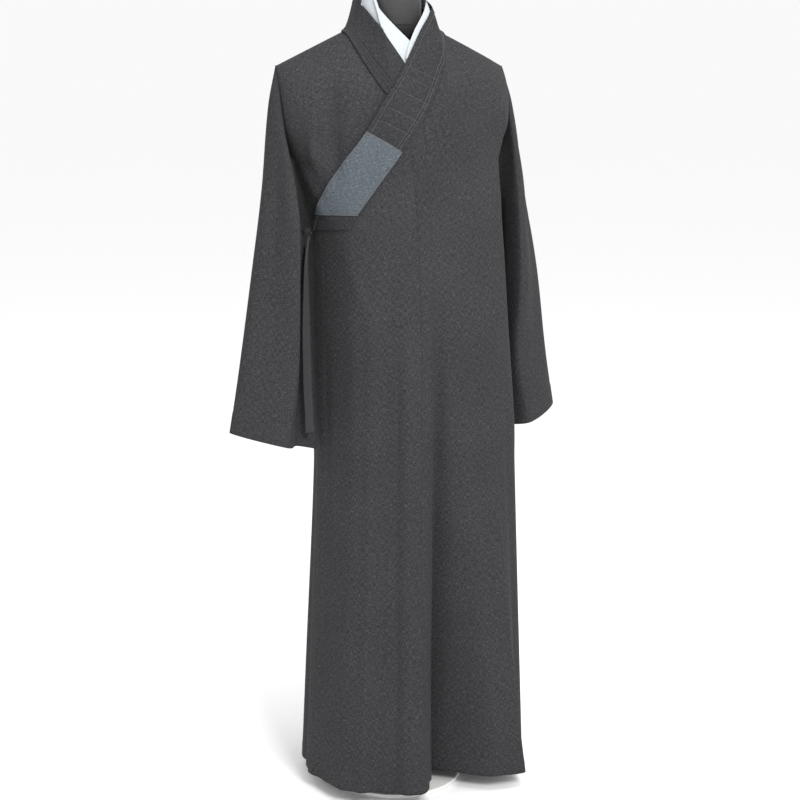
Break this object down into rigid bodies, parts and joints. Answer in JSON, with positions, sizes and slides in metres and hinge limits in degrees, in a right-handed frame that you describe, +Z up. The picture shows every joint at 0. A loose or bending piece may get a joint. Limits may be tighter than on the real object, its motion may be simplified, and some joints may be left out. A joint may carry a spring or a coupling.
{
  "type": "buddhist monk robe on a limbless dress form",
  "caption": "Long dark grey cross-collared monk's robe with wide straight sleeves, white collar guard and a side tie, on a black limbless dress form with a round stand.",
  "frame": {"origin": "on the floor, in the middle of the stand's base", "axes": "+Z up, the wearer faces -Y and the wearer's left is at +X"},
  "size_m": [0.665, 0.3725, 1.529],
  "materials": {
    "robe_cloth": "dark grey heathered plain weave",
    "patch_cloth": "pale blue-grey linen-like weave",
    "guard_cloth": "white cotton",
    "form_cover": "black jersey, smooth",
    "form_cap": "dark lacquer",
    "stand_metal": "white powder coat"
  },
  "bodies": {
    "root": {"body_left": "robe_cloth", "body_right": "robe_cloth", "outer_lap": "robe_cloth", "sleeve_left": "robe_cloth", "sleeve_right": "robe_cloth", "collar_left": "robe_cloth", "collar_right": "robe_cloth", "collar_back": "robe_cloth", "side_tie": "robe_cloth", "knot_button": "robe_cloth", "collar_patch": "patch_cloth", "guard_left": "guard_cloth", "guard_right": "guard_cloth", "guard_back": "guard_cloth", "form_torso": "form_cover", "form_neck": "form_cover", "form_cap": "form_cap", "stand_base": "stand_metal", "stand_socket": "stand_metal", "stand_pole": "stand_metal"}
  },
  "joints": []
}
